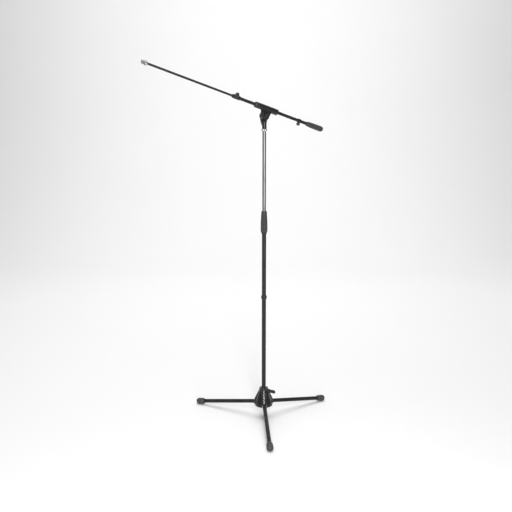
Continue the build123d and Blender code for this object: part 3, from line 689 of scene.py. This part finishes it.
def textured_sleeve(name, place, outline, inner, texture, plain_low, plain_high, segments):
    """Sleeve whose outside carries a raised texture between two plain ends."""
    step, window, fade_length = 0.6, 9, 1.2
    heights = np.arange(outline[0][1], outline[-1][1], step)
    heights = np.append(heights, outline[-1][1])
    radii = np.interp(heights, [h for _, h in outline], [r for r, _ in outline])
    padded_radii = np.pad(radii, window // 2, mode="edge")
    radii = np.convolve(padded_radii, np.ones(window) / window, mode="valid")
    low, high = heights[0] + plain_low, heights[-1] - plain_high

    def relief(angle, height):
        fade_in = np.clip((height - low) / fade_length, 0, 1)
        fade_out = np.clip((high - height) / fade_length, 0, 1)
        return np.where(is_outside, texture(angle, height) * (fade_in * fade_out), 0)

    profile = list(zip(radii, heights)) + inner
    outer_rows = np.arange(len(profile)) < len(radii)
    is_outside = np.repeat(outer_rows[:, None], segments, axis=1)
    return turned(name, place, profile, segments, ring=True, relief=relief)


grip = textured_sleeve(
    "clutch_sleeve", MAST, GRIP_OUTLINE,
    [(GRIP_NECK_BORE, CLUTCH_TOP), (GRIP_NECK_BORE, GRIP_STEP), (GRIP_BORE, GRIP_STEP),
     (GRIP_BORE, GRIP_BOTTOM)], diamonds(22, 5.6, 0.7), 5, 9, 264)
fit(grip, "clutch", "textured_grip", GRIP, "clutch_grip")

LOCK_RING_RADIUS, LOCK_RING_CHAMFER, GAP = 12.5, 1.2, 0.3
ring_low, ring_high = UPPER_TOP + GAP, NECK_BOTTOM - GAP
ring_bore, ring_end_radius = STUD_RADIUS + 0.1, LOCK_RING_RADIUS - LOCK_RING_CHAMFER
lock_ring = turned("lock_ring_bright", MAST, closed_ring([
    (ring_bore, ring_low), (ring_end_radius, ring_low),
    (LOCK_RING_RADIUS, ring_low + LOCK_RING_CHAMFER),
    (LOCK_RING_RADIUS, ring_high - LOCK_RING_CHAMFER), (ring_end_radius, ring_high),
    (ring_bore, ring_high)], 0.5), 288, ring=True, relief=ribs(48, 0.35))
fit(lock_ring, "lock_ring", "chrome", CHROME, "swivel_lock_ring")

for node in ("mast_end_flange", "clutch_collet", "upper_guide_bush", "swivel_friction_washer",
             "rod_guide_bush"):
    dress(node, PLASTIC)
for node in ("mast_top_stud", "swivel_nut", "swivel_bolt", "counterweight_slug", "rod_clamp_screw"):
    dress(node, STEEL)

# ================================================================ swivel
# The swivel's frames have z out of its face, towards -Y, and x level or along the boom.
SIDE = placed(PIVOT, (0, -1, 0), (1, 0, 0))
SIDE_TILTED = placed(PIVOT, (0, -1, 0), BOOM_DIRECTION * -1)
PIVOT_HEIGHT = PIVOT.z / MM
NECK_DISC_BACK, NECK_DISC_FACE = -11.0, -1.0
BOSS_FACE, BOSS_FRONT = 0.1, 11.1


def neck():
    """Neck casting: stem, tapering web and the round joint disc behind the boom's boss."""
    stem_top, web_overlap, web_top = -25.0, 14.0, -7.0
    stem = prism(disc_outline(NECK_RADIUS - 0.1), NECK_BOTTOM - PIVOT_HEIGHT, stem_top)
    upright = Matrix(((1, 0, 0, 0), (0, 0, 1, 0), (0, -1, 0, 0), (0, 0, 0, 1)))
    low_half, high_half = NECK_RADIUS - 0.2, DISC_RADIUS * 0.93
    web = [(-low_half, stem_top - web_overlap), (low_half, stem_top - web_overlap),
           (high_half, web_top), (-high_half, web_top)]
    disc = prism(disc_outline(DISC_RADIUS, count=96), NECK_DISC_BACK, NECK_DISC_FACE)
    return fused("neck_casting", SIDE, [
        moved(stem, upright), prism(web, NECK_DISC_BACK + 1.2, NECK_DISC_FACE), disc], 0.6, 6)


fit(neck(), "upper", "cast_metal", CAST, "swivel_neck")

BUSH_RADIUS, BUSH_BORE, BUSH_FRONT = 9.4, 6.82, 52.0


def holder():
    """Boom holder casting: tube clamp, flared bracket and the joint's front boss."""
    bracket_half, bracket_low, bracket_high, pad_radius = 24.5, 22.0, 32.0, 14.5
    along = Matrix(((0, 0, -1, 0), (1, 0, 0, BOOM_OFFSET), (0, -1, 0, 0), (0, 0, 0, 1)))
    barrel = moved(prism(disc_outline(HOLDER_RADIUS, count=96), HOLDER_REAR, HOLDER_FRONT), along)
    boss = prism(disc_outline(DISC_RADIUS + 0.5, count=96), BOSS_FACE, BOSS_FRONT)
    bracket = [(-DISC_RADIUS, 0), (DISC_RADIUS, 0), (bracket_half, bracket_low),
               (bracket_half, bracket_high), (-bracket_half, bracket_high),
               (-bracket_half, bracket_low)]
    casting = fused("holder_casting", SIDE_TILTED, [
        barrel, boss, prism(bracket, BOSS_FACE, BOSS_FRONT),
        prism(disc_outline(pad_radius), BOSS_FRONT - 1, BOSS_FRONT + 0.8)], 0.5, 6)
    return bored(casting, BOOM, BUSH_RADIUS + 0.05, HOLDER_REAR - 2, HOLDER_FRONT + 2)


fit(holder(), "holder", "cast_metal", CAST, "boom_holder")
bush = turned("holder_bush", BOOM, closed_ring([
    (BUSH_BORE, HOLDER_REAR), (BUSH_RADIUS, HOLDER_REAR), (BUSH_RADIUS, BUSH_FRONT),
    (BUSH_BORE, BUSH_FRONT)], 0.4), 72, ring=True)
fit(bush, "holder", "plastic", PLASTIC, "boom_clamp_bush")

# clamp nut: a rim, a groove, the rounded body, then its inside back to the start
NUT_RADIUS, NUT_GROOVE_RADIUS, NUT_BORE = 13.0, 12.2, 7.2
nut_start, nut_inner = HOLDER_FRONT + 0.4, BUSH_RADIUS + 0.2
nut = turned("clamp_nut_collar", BOOM, closed_ring([
    (nut_inner, nut_start), (NUT_RADIUS - 0.6, nut_start), (NUT_RADIUS, 42.4), (NUT_RADIUS, 43.6),
    (NUT_GROOVE_RADIUS, 44.1), (NUT_GROOVE_RADIUS, 45.1), (NUT_RADIUS, 45.6), (NUT_RADIUS, 53.5),
    (11.6, NUT_FRONT - 1.0), (9.4, NUT_FRONT), (NUT_BORE, NUT_FRONT),
    (NUT_BORE, BUSH_FRONT + 0.6), (nut_inner, BUSH_FRONT + 0.6)], 1.0), 96, ring=True)
fit(nut, "clamp_nut", "plastic", PLASTIC, "boom_clamp_nut")

swivel_bar = make_t_bar("swivel_t_bar_knob", SIDE, stem_start=12.3, bar_start=16.5, end=26,
                        length=30, width=9.5, tilt=math.radians(42))
fit(swivel_bar, "swivel_screw", "plastic", PLASTIC, "swivel_t_bar")

# ================================================================ boom
tube("boom_outer_tube", BOOM, BOOM_REAR, BOOM_FRONT, BOOM_RADIUS, UPPER_WALL, "boom",
     "black_tube", TUBE, "boom_tube")
tube("boom_front_rod", BOOM, ROD_REAR, ROD_FRONT, ROD_RADIUS, ROD_WALL, "rod", "black_tube", TUBE,
     "boom_rod")

rod_screw_axis = Vector(joints["rod_clamp_turn"]["axis"])
rod_screw_frame = placed(joints["rod_clamp_turn"]["pos_m"], rod_screw_axis, BOOM_DIRECTION)


def rod_clamp():
    """Clamp on the front of the boom tube: tapered sleeve with a boss for the screw."""
    rear, front, sleeve_radius = 131.0, 168.0, 9.2
    screw_boss, screw_boss_reach = 6.5, 11.5
    sleeve = stacked(disc_outline(sleeve_radius), [
        (rear, 0.93), (rear + 1, 1), (front - 6, 1), (front - 2.5, 0.93), (front, 0.74)])
    to_boom = BOOM.inverted() @ rod_screw_frame
    to_boom_mm = to_boom.to_3x3().to_4x4()
    to_boom_mm.translation = to_boom.translation / MM
    boss = moved(prism(disc_outline(screw_boss), 2, screw_boss_reach), to_boom_mm)
    casting = fused("rod_clamp_casting", BOOM, [sleeve, boss], 0.45, 5)
    return bored(casting, BOOM, ROD_RADIUS + 0.2, rear - 2, front + 2)


fit(rod_clamp(), "boom", "cast_metal", CAST, "rod_clamp_sleeve")

knob_outline = rounded([(0, 12), (7.6, 12), (9.1, 13.4), (9.2, 19.5), (7.8, 23), (0, 23)], 1.6)
rod_knob = turned("rod_clamp_round_knob", rod_screw_frame, knob_outline, 216,
                  relief=ribs(18, 0.55))
fit(rod_knob, "rod_screw", "plastic", PLASTIC, "rod_clamp_knob")


TIP_FLANGE, TIP_ROOT, TIP_BORE, TIP_PLUG = 8.6, THREAD_RADIUS - 0.2, 5.0, 3.9
SHOULDER_FRONT = ROD_FRONT + 3
THREAD_START = 558.0
THREAD_DEPTH = 0.58


def thread(angle, height):
    """Relief of a single-start thread that fades out at both ends."""
    phase = (height / THREAD_PITCH - angle / (2 * math.pi)) % 1
    tooth = 1 - np.abs(2 * phase - 1)
    fade_in = np.clip((height - THREAD_START - 0.5) / 0.8, 0, 1)
    fade_out = np.clip((TIP_END - 0.6 - height) / 0.8, 0, 1)
    return -THREAD_DEPTH * (1 - tooth) * (fade_in * fade_out) * (height > THREAD_START + 0.05)


tip_outline = [(0, ROD_FRONT - 16), (TIP_PLUG, ROD_FRONT - 16), (TIP_PLUG, ROD_FRONT),
               (TIP_FLANGE - 0.6, ROD_FRONT), (TIP_FLANGE, ROD_FRONT + 0.6),
               (TIP_FLANGE, SHOULDER_FRONT - 0.6), (TIP_FLANGE - 0.6, SHOULDER_FRONT),
               (TIP_ROOT, SHOULDER_FRONT), (TIP_ROOT, THREAD_START)]
tip_outline += [(THREAD_RADIUS, h) for h in np.arange(THREAD_START + 0.1, TIP_END - 1.0, 0.1)]
tip_outline += [(THREAD_RADIUS - 0.9, TIP_END), (TIP_BORE + 0.4, TIP_END),
                (TIP_BORE, TIP_END - 0.4), (TIP_BORE, TIP_END - 6), (0, TIP_END - 6)]
tip = turned("tip_thread", BOOM, tip_outline, 96, relief=thread)
fit(tip, "rod", "chrome", CHROME, "tip_thread_adapter")

RING_WAIST, RING_LENGTH, LOBE = 10.4, 5.5, 2.8
ring_start, ring_bore = SHOULDER_FRONT + GAP, THREAD_RADIUS + 0.2
ring_end = ring_start + RING_LENGTH
ring_outline = rounded([(ring_bore, ring_start), (RING_WAIST, ring_start),
                        (RING_WAIST, ring_end), (ring_bore, ring_end)], 1.2)
ring_growth = np.array([[max(r - ring_bore, 0) / (RING_WAIST - ring_bore)]
                        for r, _ in ring_outline])
tip_ring = turned("tip_ring_lobed", BOOM, ring_outline, 144, ring=True,
                  relief=lambda a, h: LOBE * (0.5 + 0.5 * np.cos(3 * a)) ** 1.5 * ring_growth)
fit(tip_ring, "tip_ring", "chrome", CHROME, "tip_lock_ring")

STOP_REAR, STOP_FRONT, STOP_RADIUS, STOP_CHAMFER = -176.0, -162.0, 9.0, 0.8
stop_bore = BOOM_RADIUS + 0.15
stop = turned("stop_collar_ring", BOOM, closed_ring([
    (stop_bore, STOP_REAR), (STOP_RADIUS - STOP_CHAMFER, STOP_REAR),
    (STOP_RADIUS, STOP_REAR + STOP_CHAMFER), (STOP_RADIUS, STOP_FRONT - STOP_CHAMFER),
    (STOP_RADIUS - STOP_CHAMFER, STOP_FRONT), (stop_bore, STOP_FRONT)], 0.8), 96, ring=True)
fit(stop, "stop", "cast_metal", CAST, "stop_collar")

STOP_BOSS_RADIUS, STOP_BOSS_REACH, STOP_SCREW_RADIUS = 4.0, 9.7, 2.2
stop_frame = joint_frame("stop_screw_turn", BOOM_DIRECTION)
stop_boss = turned("stop_collar_boss", stop_frame, closed_ring([
    (STOP_SCREW_RADIUS, 8.2), (STOP_BOSS_RADIUS, 8.2), (STOP_BOSS_RADIUS, STOP_BOSS_REACH),
    (STOP_SCREW_RADIUS, STOP_BOSS_REACH)], 0.4), 64, ring=True)
fit(stop_boss, "stop", "cast_metal", CAST)
stop_knob_outline = rounded([(0, 8.0), (2.0, 8.0), (2.0, 10.2), (6.8, 10.2), (7.7, 11.3),
                             (7.8, 18), (6.6, 20.8), (0, 20.8)], 1.2)
stop_knob = turned("stop_thumb_knob", stop_frame, stop_knob_outline, 180, relief=ribs(15, 0.4))
fit(stop_knob, "stop_screw", "plastic", PLASTIC, "stop_thumbscrew")

WEIGHT_OUTLINE = [(7.5, WEIGHT_REAR + 1.0), (9.5, WEIGHT_REAR + 2.2), (11.0, WEIGHT_REAR + 4.2),
                  (11.9, WEIGHT_REAR + 7.5), (12.2, WEIGHT_REAR + 12), (12.2, WEIGHT_REAR + 30),
                  (11.8, WEIGHT_FRONT - 30), (10.9, WEIGHT_FRONT - 14), (10.0, WEIGHT_FRONT - 6),
                  (9.2, WEIGHT_FRONT - 2.5), (7.8, WEIGHT_FRONT)]
weight_bore, weight_bottom = BOOM_RADIUS + 0.05, WEIGHT_REAR + 4
cover = textured_sleeve(
    "weight_cover", BOOM, WEIGHT_OUTLINE,
    [(weight_bore, WEIGHT_FRONT), (weight_bore, weight_bottom), (0.0, weight_bottom),
     (0.0, WEIGHT_REAR), (3.0, WEIGHT_REAR + 0.05), (5.5, WEIGHT_REAR + 0.35)],
    diamonds(18, 5.2, 0.5), 9, 9, 216)
fit(cover, "boom", "textured_grip", GRIP, "counterweight_cover")

# ================================================================ stage, light and camera
# The stage's frame: x to the camera's right, y away from it, in metres.
CAMERA_TURN = math.radians(-25.0)
STAGE = Matrix.Rotation(CAMERA_TURN, 4, "Z")


def soft_light(name, place, aim, width, height, radiance):
    """Area light of a given brightness, aimed at a point."""
    data = bpy.data.lights.new(name, "AREA")
    data.shape = "RECTANGLE"
    data.size = width
    data.size_y = height
    data.energy = radiance * math.pi * width * height
    lamp = bpy.data.objects.new(name, data)
    bpy.context.scene.collection.objects.link(lamp)
    start, end = STAGE @ Vector(place), STAGE @ Vector(aim)
    turn = (end - start).to_track_quat("-Z", "Y").to_matrix().to_4x4()
    lamp.matrix_world = Matrix.Translation(start) @ turn
    lamp.visible_camera = False
    return lamp


def make_floor():
    """Plain pale floor that curves up far behind into a wall."""
    half_width, near, far, height, bend = 14.0, -9.0, 6.5, 8.0, 3.0
    profile = [(near, 0.0)]
    for turn in np.linspace(0, math.pi / 2, 24):
        profile.append((far - bend + bend * math.sin(turn), bend - bend * math.cos(turn)))
    profile.append((far, height))
    points, faces = [], []
    for y, z in profile:
        points.extend([(-half_width, y, z), (half_width, y, z)])
    for row in range(len(profile) - 1):
        faces.append((2 * row, 2 * row + 1, 2 * row + 3, 2 * row + 2))
    floor = new_piece("floor", np.array(points) / MM, faces, STAGE, 60)
    material, nodes, links, principled, coordinates = shader("pale_floor")
    patches = noise(nodes, links, coordinates, 0.8)
    tone = blend_colour(nodes, links, patches, (0.83, 0.83, 0.83), (0.86, 0.86, 0.86))
    links.new(tone, principled.inputs["Base Color"])
    principled.inputs["Roughness"].default_value = 0.75
    floor.data.materials.append(material)
    return floor


world = bpy.data.worlds.new("studio")
world.use_nodes = True
world.node_tree.nodes["Background"].inputs["Color"].default_value = (1.0, 1.0, 1.0, 1.0)
world.node_tree.nodes["Background"].inputs["Strength"].default_value = 0.18
bpy.context.scene.world = world
bpy.context.scene.view_settings.view_transform = "Standard"

stage = [
    make_floor(),
    soft_light("overhead", (0.0, 0.6, 5.0), (0.0, 0.6, 0.0), 5.0, 5.0, 2.3),
    soft_light("wall_wash", (0.0, 2.2, 4.8), (0.0, 6.5, 2.2), 6.0, 2.0, 4.2),
    soft_light("front_box", (0.22, -3.1, 1.45), (0.0, 0.0, 1.0), 0.5, 2.5, 27.0),
    soft_light("side_box", (-2.8, -0.9, 1.9), (0.0, 0.0, 0.9), 0.6, 1.6, 3.0),
]

camera_data = bpy.data.cameras.new("camera")
camera_data.lens = 45.703
camera_data.sensor_width = 36.0
camera = bpy.data.objects.new("camera", camera_data)
bpy.context.scene.collection.objects.link(camera)
camera.location = (-1.2498, -2.5950, 1.2585)
camera.rotation_euler = (math.radians(80.27), 0.0, CAMERA_TURN)
bpy.context.scene.camera = camera
stage.append(camera)
